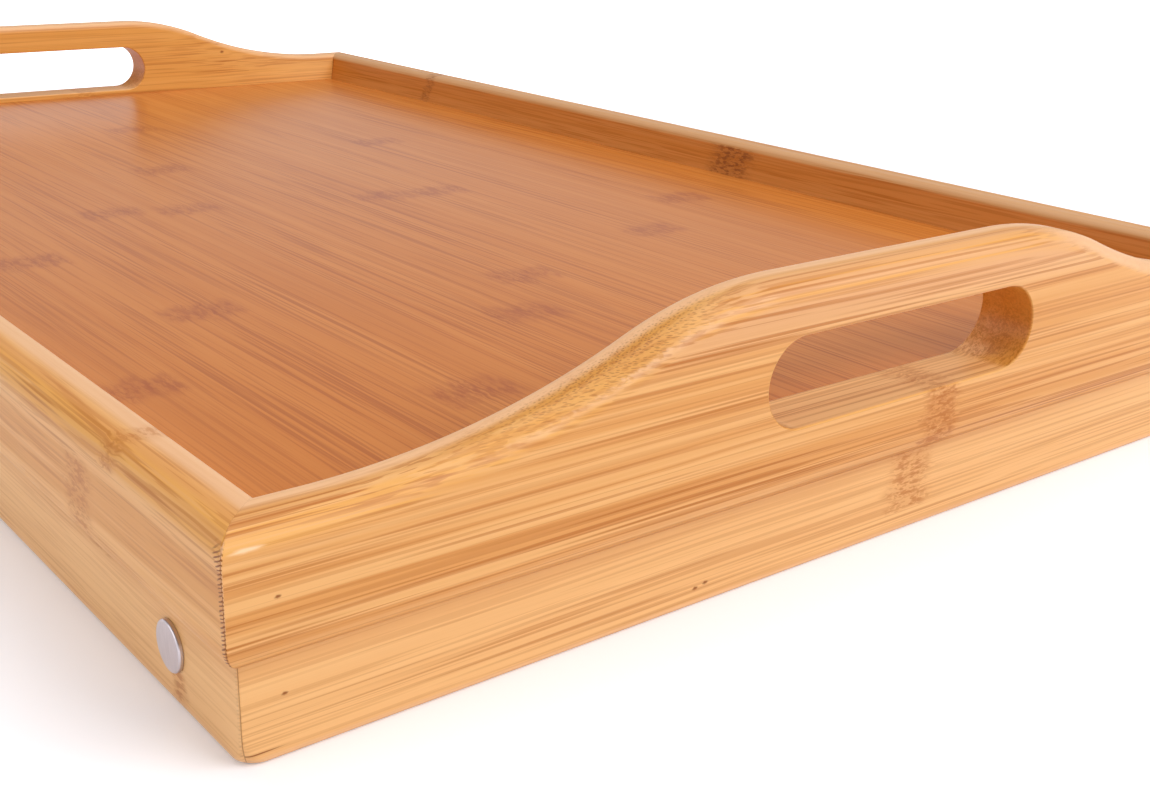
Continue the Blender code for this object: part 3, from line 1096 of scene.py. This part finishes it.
@dataclass
class Rail(Board):
    """A long rail, drilled for the two pivots."""

    pivot_x: float = 0.0
    pivot_z: float = 0.0
    hole_radius: float = 3.3 * MM
    hole_steps: int = 48
    overrun: float = 2 * MM

    def cutters(self) -> list[bpy.types.Object]:
        """Make the two pivot holes, as cylinders longer than the rail is thick.

        Returns:
            The two shapes.
        """
        start = self.inner_face - self.overrun
        end = self.inner_face + self.section.sizes.thickness + self.overrun
        profile = np.array([(self.hole_radius, self.sign * start), (self.hole_radius, self.sign * end)])
        places = [np.array([x, 0, self.pivot_z]) for x in (-self.pivot_x, self.pivot_x)]
        return [turned("pivot_hole", profile, place, self.hole_steps) for place in places]


@dataclass
class EndBoard(Board):
    """An end board, with its raised handle and the hand slot through it."""

    handle_top: float = 68 * MM
    shoulder_setback: float = 2.6 * MM
    crown_radius: float = 89 * MM
    slot_length: float = 81 * MM
    slot_height: float = 18.7 * MM
    slot_above_panel: float = 1.9 * MM
    slot_edge_round: float = 0.45 * MM
    slot_overrun: float = 0.3 * MM
    slot_steps: int = 40
    flare_start: float = 80
    flare_steps: int = 9

    def rise(self, along: np.ndarray) -> np.ndarray:
        """Give the handle's curve: flat on top, then the crown's circle, then the foot's circle.

        Both circles turn by the same angle, twice the angle of the straight line from the end of
        the flat top to the foot, and the foot's circle is the one that this leaves.

        Args:
            along: places along the board.

        Returns:
            The rise above the rails at each place.
        """
        high = self.section.sizes.handle_rise
        flat = self.handle_top / 2
        foot = self.half_length - self.shoulder_setback
        run = foot - flat
        turn = 2 * atan2(high, run)
        foot_radius = run / sin(turn) - self.crown_radius
        place = np.abs(along)
        over = np.clip(place - flat, 0, self.crown_radius * sin(turn))
        crown = high - self.crown_radius + np.sqrt(self.crown_radius**2 - over**2)
        short = np.clip(foot - place, 0, foot_radius * sin(turn))
        hollow = foot_radius - np.sqrt(foot_radius**2 - short**2)
        return np.where(place < flat + self.crown_radius * sin(turn), crown, hollow)

    def cutters(self) -> list[bpy.types.Object]:
        """Make the hand slot's shape: a round-ended slot that flares by a quarter circle at each face.

        Returns:
            The one shape.
        """
        radius = self.slot_height / 2
        straight = self.slot_length / 2 - radius
        middle = self.section.sizes.panel_high.z + self.slot_above_panel + radius
        angle = np.radians(np.linspace(-90, 90, self.slot_steps))
        right = np.column_stack([np.cos(angle), np.sin(angle)])
        direction = np.concatenate([right, -right])
        centre = np.repeat([straight, -straight], self.slot_steps)

        lean = np.radians(np.linspace(self.flare_start, 0, self.flare_steps))
        edge = self.slot_edge_round
        depth = edge - edge * np.sin(lean)
        flare = edge - edge * np.cos(lean)
        depth = np.concatenate([[depth[0] - self.slot_overrun], depth])
        flare = np.concatenate([[flare[0] + self.slot_overrun * np.tan(lean[0])], flare])
        wider = radius + np.concatenate([flare, flare[::-1]])[:, None]

        along = centre + wider * direction[:, 0]
        tall = middle + wider * direction[:, 1]
        inside = depth[:, None] + self.section.lean_at(tall[: len(depth)], self.section.sizes.handle_rise)
        outside = np.broadcast_to(self.section.sizes.thickness - depth[::-1, None], inside.shape)
        across = self.sign * (self.inner_face + np.concatenate([inside, outside]))
        return [lofted("hand_slot", np.stack([across, along, tall], axis=-1))]


@dataclass
class Panel:
    """The thin panel, housed in the boards' grooves."""

    sizes: TraySizes
    finish: PanelFinish = field(default_factory=PanelFinish)
    edge_round: float = 0.6 * MM
    steps: int = 4
    rings: int = 3

    def build(self) -> None:
        """Make the panel as a flat slab whose long edges are eased, and dress it."""
        low, high = self.sizes.panel_low, self.sizes.panel_high
        outline = eased_rectangle(low.yz, high.yz, self.edge_round, self.steps)
        along = np.linspace(low.x, high.x, self.rings)
        rings = np.stack([np.column_stack([np.full(len(outline), x), outline]) for x in along])
        piece = lofted("tray_panel_sanded", rings)
        dress(piece, self.finish.material(), "panel_bamboo", "tray", "tray_panel")


@dataclass
class Pivot:
    """One pivot: a sleeve nut from outside, a screw from inside, and a washer between rail and post."""

    end: End
    side: Side
    steel: bpy.types.Material
    nylon: bpy.types.Material
    head_radius: float = 4.72 * MM
    head_thickness: float = 0.8 * MM
    rim: float = 0.4 * MM
    crown: float = 0.12 * MM
    crown_sink: float = 0.4
    crown_steps: int = 8
    crown_middle: float = 0.05
    shank_radius: float = 3 * MM
    bore_radius: float = 2.1 * MM
    socket_radius: float = 1.6 * MM
    socket_depth: float = 0.8 * MM
    socket_sides: int = 6
    washer_ease: float = 0.2 * MM
    washer_play: float = 0.3 * MM
    washer_steps: int = 4
    steps: int = 6

    def build(self) -> None:
        """Make the three turned pieces and dress them."""
        tail = f"{self.side.name.lower()}_{self.end.name.lower()}"
        nut, screw, washer = "sleeve_nut_" + tail, "pivot_screw_" + tail, "spacer_washer_" + tail
        dress(self.headed(nut, outside=True), self.steel, "pivot_steel", body_of(nut), nut)
        dress(self.headed(screw, outside=False), self.steel, "pivot_steel", body_of(screw), screw)
        dress(self.washer(washer), self.nylon, "washer_nylon", body_of(washer), washer)

    def axis(self, node: str) -> tuple[np.ndarray, float, float]:
        """Find where a node lies on its pivot's line.

        Args:
            node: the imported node.

        Returns:
            The line's point at Y zero, and how near and how far from there the node lies.
        """
        low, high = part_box(node)
        middle = (low + high) / 2
        near, far = sorted((abs(low.y), abs(high.y)))
        return np.array([middle.x, 0, middle.z]), near, far

    def headed(self, node: str, outside: bool) -> bpy.types.Object:
        """Turn a flat head, faintly crowned and round at its rim, on its shank.

        Args:
            node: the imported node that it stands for.
            outside: whether the head is at the outer end.

        Returns:
            The piece, with a six-sided socket where the head is inside.
        """
        place, near, far = self.axis(node)
        tip, face = (near, far) if outside else (far, near)
        inwards = 1 if face > tip else -1
        flat = self.head_radius - self.rim
        crown = np.linspace(flat, self.crown_middle * self.head_radius, self.crown_steps)[1:]
        dome = self.crown * (1 - (crown / self.head_radius) ** 2)
        radius = self.shank_radius if outside else self.bore_radius
        profile = np.concatenate([
            [(radius, -abs(face - tip)), (radius, -self.head_thickness)],
            [(self.head_radius, -self.head_thickness)],
            arc((flat, -self.rim), self.rim, 0, 90, self.steps),
            np.column_stack([crown, dome - self.crown * self.crown_sink]),
        ])
        profile[:, 1] = self.side.value * (face + inwards * (profile[:, 1] - self.crown))
        piece = turned(node + "_turned", profile, place)
        if not outside:
            ends = self.side.value * np.array([face - self.head_thickness, face + self.socket_depth])
            profile = np.column_stack([np.full(2, self.socket_radius), ends])
            carve(piece, [turned("socket", profile, place, self.socket_sides)])
        return piece

    def washer(self, node: str) -> bpy.types.Object:
        """Make the washer as a rounded square carried round a circle.

        Args:
            node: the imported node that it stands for.

        Returns:
            The piece, a closed ring.
        """
        low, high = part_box(node)
        place, near, far = self.axis(node)
        inner = (self.shank_radius + self.washer_play, near)
        outer = ((high.x - low.x) / 2, far)
        section = eased_rectangle(inner, outer, self.washer_ease, self.washer_steps)
        return turned(node + "_turned", section * (1, self.side.value), place, closed=True)


@dataclass
class LegFrame:
    """One folding leg frame: two posts and the cross bar between them."""

    end: End
    finish: BambooFinish
    pivot: Vector
    edge_round: float = 1.2 * MM
    edge_steps: int = 4
    foot_radius: float = 4 * MM
    stop_radius: float = 2 * MM
    hole_radius: float = 3.3 * MM
    hole_steps: int = 48
    steps: int = 8

    def build(self) -> None:
        """Make the frame's three pieces and dress them."""
        name = self.end.name.lower()
        material = self.finish.material()
        posts = [f"leg_post_{side.name.lower()}_{name}" for side in Side]
        bar = f"leg_bar_{name}"
        for node in (*posts, bar):
            piece = self.bar(node) if node == bar else self.post(node)
            dress(piece, material, "bamboo", f"{name}_leg_frame", node)

    def outline(self, node: str, inset: float) -> np.ndarray:
        """Draw a post from the side, drawn in by an inset: every corner is an arc about a fixed centre.

        Args:
            node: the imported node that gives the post's box.
            inset: how far inside the full outline to draw.

        Returns:
            Rows of X and Z.
        """
        low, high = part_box(node)
        half = (high.z - low.z) / 2
        short_end = max(abs(low.x), abs(high.x)) - abs(self.pivot.x)
        foot_end = abs(self.pivot.x) - min(abs(low.x), abs(high.x))
        foot, stop = self.foot_radius, self.stop_radius
        corners = (
            ((foot_end - foot, foot - half), foot, -90),
            ((foot_end - foot, half - foot), foot, 0),
            ((half - short_end, 0), half, 90),
            ((stop - short_end, stop - half), stop, 180),
        )
        own = np.concatenate([
            arc(centre, radius - inset, start, start + 90, self.steps) for centre, radius, start in corners
        ])
        return np.column_stack([self.pivot.x - self.end.value * own[:, 0], self.pivot.z + own[:, 1]])

    def eased_slab(self, name: str, outlines: list[np.ndarray], places: np.ndarray) -> bpy.types.Object:
        """Stack outlines into one closed slab.

        Args:
            name: the object's name.
            outlines: rows of X and Z, one array for each place.
            places: where they lie along Y.

        Returns:
            The object.
        """
        rings = [np.insert(outline, 1, place, axis=1) for outline, place in zip(outlines, places)]
        return lofted(name, np.stack(rings))

    def post(self, node: str) -> bpy.types.Object:
        """Make a post whose long edges are quarter rounds, drilled for its sleeve.

        Args:
            node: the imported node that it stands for.

        Returns:
            The piece.
        """
        low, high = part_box(node)
        lean = np.radians(np.linspace(0, 90, self.edge_steps + 1))
        ease = self.edge_round
        insets = ease - ease * np.sin(lean)
        depths = ease - ease * np.cos(lean)
        places = np.concatenate([low.y + depths, high.y - depths[::-1]])
        outlines = [self.outline(node, inset) for inset in [*insets, *insets[::-1]]]
        piece = self.eased_slab(node + "_eased", outlines, places)
        reach = np.array([(self.hole_radius, low.y - ease), (self.hole_radius, high.y + ease)])
        place = np.array([self.pivot.x, 0, self.pivot.z])
        carve(piece, [turned("sleeve_hole", reach, place, self.hole_steps)])
        return piece

    def bar(self, node: str) -> bpy.types.Object:
        """Make the cross bar between the posts, with eased long edges.

        Args:
            node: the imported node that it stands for.

        Returns:
            The piece.
        """
        low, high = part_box(node)
        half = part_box(node.replace("bar", "post_back"))[0].y
        outline = eased_rectangle(low.xz, high.xz, self.edge_round, self.steps)
        return self.eased_slab(node + "_eased", [outline, outline], np.array([-half, half]))


@dataclass(frozen=True)
class Lamp:
    """A softbox that faces the tray."""

    name: str
    place: Triple
    size: Pair
    watts: float
    colour: Triple

    def hang(self) -> None:
        """Put the softbox in the scene."""
        data = bpy.data.lights.new(self.name, "AREA")
        data.shape = "RECTANGLE"
        data.size, data.size_y = self.size
        data.energy = self.watts
        data.color = self.colour
        lamp = bpy.data.objects.new(self.name, data)
        bpy.context.scene.collection.objects.link(lamp)
        lamp.location = self.place
        lamp.rotation_euler = (-Vector(self.place)).to_track_quat("-Z", "Y").to_euler()


@dataclass
class Studio:
    """The pale floor, the soft light and the camera at the photograph's angle."""

    photo_width: int = 1150
    focal_pixels: float = 1480.68
    sensor: float = 36.0
    clip_start: float = 0.01
    camera_place: Triple = (0.43269, -0.23214, 0.13427)
    camera_azimuth: float = 141.5626
    camera_down: float = 19.8053
    camera_roll: float = 1.3609
    floor_colour: Colour = (0.895, 0.895, 0.945, 1)
    floor_half: float = 6.0
    foot_inset: float = 0.005
    ambient: float = 0.33
    ceiling: float = 0.3
    backdrop_top: float = 3.0
    ceiling_start: float = 19.0
    floor_lift: float = 0.2
    white_reach: Pair = (0.3, 0.7)
    lamps: tuple[Lamp, ...] = (
        Lamp("key", (1.34, 0.62, 1.03), (1.2, 0.9), 17.5, (1.0, 0.985, 0.96)),
        Lamp("top", (0.0, 0.1, 1.5), (1.6, 1.2), 10.5, (1.0, 1.0, 1.0)),
        Lamp("fill", (-0.2, -1.65, 0.55), (1.5, 0.8), 6.8, (1.0, 0.99, 0.98)),
    )

    def build(self) -> None:
        """Set the camera, the world, the floor and the lamps."""
        self.camera()
        self.world()
        self.floor()
        for lamp in self.lamps:
            lamp.hang()
        bpy.context.scene.view_settings.view_transform = "Standard"

    def camera(self) -> None:
        """Place the camera from its azimuth, its tilt down and its roll."""
        turn, down, roll = (radians(one) for one in (self.camera_azimuth, self.camera_down, self.camera_roll))
        forward = Vector((cos(turn) * cos(down), sin(turn) * cos(down), -sin(down)))
        right = forward.cross(Vector((0, 0, 1))).normalized()
        up = right.cross(forward)
        across = cos(roll) * right + sin(roll) * up
        upright = cos(roll) * up - sin(roll) * right
        data = bpy.data.cameras.new("camera")
        data.sensor_width = self.sensor
        data.lens = self.sensor * self.focal_pixels / self.photo_width
        data.clip_start = self.clip_start
        data.dof.use_dof = False
        camera = bpy.data.objects.new("camera", data)
        bpy.context.scene.collection.objects.link(camera)
        place = Matrix((across, upright, -forward)).transposed().to_4x4()
        place.translation = self.camera_place
        camera.matrix_world = place
        bpy.context.scene.camera = camera

    def world(self) -> None:
        """Light from all round at one plain level, under a white backdrop and a greyer ceiling.

        Seen directly the world is white. Seen in gloss or glass it is white up to the backdrop's
        top, and fades to the ceiling's level above it.
        """
        world = bpy.data.worlds.new("studio")
        bpy.context.scene.world = world
        world.use_nodes = True
        sketch = NodeSketch(world.node_tree)
        upward = sketch.source("ShaderNodeTexCoord", "Generated").parts()[2]
        above = upward.step(sin(radians(self.backdrop_top)), sin(radians(self.ceiling_start)))
        level = sketch.mirrored().pick(self.ambient, 1.0 - above * (1.0 - self.ceiling))
        level = sketch.seen().pick(level, 1.0)
        background = world.node_tree.nodes["Background"]
        background.inputs["Color"].default_value = (1, 1, 1, 1)
        world.node_tree.links.new(level.socket, background.inputs["Strength"])

    def floor(self) -> None:
        """Lay the pale floor on Z zero.

        It is open between the boards' feet, where it never shows, so that light reaches the
        underside and the open legs when they are seen from below.
        """
        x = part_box("right_end_board")[1].x - self.foot_inset
        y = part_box("back_rail")[1].y - self.foot_inset
        ways = ((-1, -1), (1, -1), (1, 1), (-1, 1))
        squares = ((self.floor_half, self.floor_half), (x, y))
        places = [(a * u, b * v, 0.0) for a, b in squares for u, v in ways]
        mesh = bpy.data.meshes.new("floor")
        mesh.from_pydata(places, [], [(i, (i + 1) % 4, (i + 1) % 4 + 4, i + 4) for i in range(4)])
        mesh.materials.append(self.floor_material())
        floor = bpy.data.objects.new("floor", mesh)
        bpy.context.scene.collection.objects.link(floor)

    def floor_material(self) -> bpy.types.Material:
        """Make the floor matt, lifted to white where it is seen, wholly so away from the tray's shadow.

        From below it is clear to the eye.

        Returns:
            The material.
        """
        sketch = MaterialSketch("pale_floor")
        sketch.tree.nodes.clear()
        away = sketch.source("ShaderNodeTexCoord", "Object").length()
        whiter = self.floor_lift + away.step(*self.white_reach) * (1.0 - self.floor_lift)
        level = sketch.seen().most(sketch.mirrored()).pick(0.0, whiter)
        lift = sketch.result("ShaderNodeEmission", {"Strength": level})
        matt = sketch.result("ShaderNodeBsdfDiffuse", {"Color": self.floor_colour})
        both = sketch.result("ShaderNodeAddShader", {0: matt, 1: lift})
        below = sketch.source("ShaderNodeNewGeometry", "Backfacing") * sketch.seen()
        clear = sketch.result("ShaderNodeBsdfTransparent", {})
        shown = sketch.result("ShaderNodeMixShader", {0: below, 1: both, 2: clear})
        sketch.node("ShaderNodeOutputMaterial", {"Surface": shown})
        return sketch.material


@dataclass
class BedTray:
    """The whole tray."""

    sizes: TraySizes
    leg_recess: float = 3 * MM
    slot_half_mm: float = 41.5
    handle_rings: int = 190

    def finish(self, name: str, grain: Grain, inner: float, seed: float, **details: object) -> BambooFinish:
        """Make a board's bamboo finish, with the mitres' places and the inner face in millimetres."""
        mitre = (self.sizes.inner_length / 2 / MM, self.sizes.inner_width / 2 / MM)
        return BambooFinish(name, grain, inner / MM, seed, mitre_mm=mitre, **details)

    def rails(self) -> None:
        """Make the two long rails."""
        section = MouldedSection(self.sizes)
        half_length, half_width = self.sizes.inner_length / 2, self.sizes.inner_width / 2
        low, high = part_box("sleeve_nut_back_right")
        holes = {"pivot_x": (low.x + high.x) / 2, "pivot_z": (low.z + high.z) / 2}
        front = self.finish(
            "front_rail_bamboo", Grain.ALONG_X, half_width, 3.1,
            nodes=(
                NodeMark(192, 17, 36, 8, 0.7), NodeMark(224, 1, 7, 4, 0.8), NodeMark(205, 38, 45, 5, 0.6),
                NodeMark(-96, 0, 18, 8), NodeMark(-20, 18, 45, 9),
            ),
            seam_band_mm=1.4, line_share=0.6, line_length=45, band_share=0.8,
        )
        # The back rail wears the painted-shade tones.
        back = self.finish(
            "back_rail_bamboo", Grain.ALONG_X, half_width, 7.7, colours=BACK_RAIL_PAINTED_SHADE,
            nodes=(NodeMark(52, 18, 40.5, 14), NodeMark(-149, 18, 45, 5, 0.6), NodeMark(170, 0, 18, 7)),
            line_share=1.1, line_length=60, gloss=0.2,
        )
        for side, finish in ((Side.FRONT, front), (Side.BACK, back)):
            node = side.name.lower() + "_rail"
            Rail(node, section, finish, half_length, half_width, Grain.ALONG_X, side.value, **holes).build()

    def end_boards(self) -> None:
        """Make the two end boards."""
        section = MouldedSection(self.sizes, self.leg_recess)
        half_length, half_width = self.sizes.inner_length / 2, self.sizes.inner_width / 2
        right = self.finish(
            "right_end_bamboo", Grain.ALONG_Y, half_length, 11.9, slot_half_mm=self.slot_half_mm,
            nodes=(NodeMark(12, 19, 33, 7.5), NodeMark(7, 5, 19, 9, 0.8)),
            specks=(
                Speck(-143.1, 30.2), Speck(-141.3, 11.5), Speck(-54.2, 3.9, 0.6), Speck(-51.6, 4.4, 0.6),
                # The pale speck at the top corner is a painted highlight where the top's rounding begins.
                Speck(-147.6, 39.0, 0.6, 7.0, pale=True), Speck(-146.5, 2.3, 0.26, 24.0),
            ),
            line_share=1.0,
        )
        # The left end board wears the painted-light inner tone.
        left = self.finish(
            "left_end_bamboo", Grain.ALONG_Y, half_length, 17.3, slot_half_mm=self.slot_half_mm,
            colours=LEFT_END_PAINTED_LIGHT,
            nodes=(NodeMark(-70, 19, 41, 8), NodeMark(60, 0, 18, 8, 0.8), NodeMark(12, 31, 34, 6, 0.6)),
            specks=(Speck(80, 47, 0.9),), gloss=0.3,
        )
        for end, finish in ((End.LEFT, left), (End.RIGHT, right)):
            EndBoard(
                end.name.lower() + "_end_board", section, finish, half_width, half_length,
                Grain.ALONG_Y, end.value, self.handle_rings,
            ).build()

    def keys(self) -> None:
        """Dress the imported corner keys, which are right as they are, in bare bamboo."""
        bare = BambooFinish("bare_key_bamboo", Grain.ALONG_X, 0.0, 23.0, roughness=0.6)
        material = bare.material()
        for name, node in frame["nodes"].items():
            if name.startswith("corner_spline"):
                node.data.materials.clear()
                node.data.materials.append(material)

    def pivots(self) -> None:
        """Make the four pivots."""
        steel = SteelFinish().material()
        nylon = NylonFinish().material()
        for end in End:
            for side in Side:
                Pivot(end, side, steel, nylon).build()

    def legs(self) -> None:
        """Make the two leg frames, each about the line of its own pivots."""
        for end in End:
            name = end.name.lower()
            low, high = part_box(f"sleeve_nut_back_{name}")
            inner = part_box(f"leg_post_back_{name}")[0].y / MM
            finish = BambooFinish(
                f"{name}_leg_frame_bamboo", Grain.ALONG_X, inner - 4, 31.0 + end.value,
                nodes=(NodeMark(end.value * 120, 0, 21, 7),), line_share=0.6, line_length=60,
            )
            LegFrame(end, finish, (low + high) / 2).build()

    def build(self) -> None:
        """Make every piece in order."""
        self.rails()
        self.end_boards()
        Panel(self.sizes).build()
        self.keys()
        self.pivots()
        self.legs()


def corners(box: tuple[Vector, Vector]) -> list[list[float]]:
    """Give a box's two corners as plain lists."""
    return [list(corner) for corner in box]


def main() -> None:
    """Build the tray and the studio."""
    logging.basicConfig(level=logging.INFO, format="%(message)s")
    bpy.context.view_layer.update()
    BedTray(TraySizes.from_frame()).build()
    Studio().build()


if __name__ == "__main__":
    main()
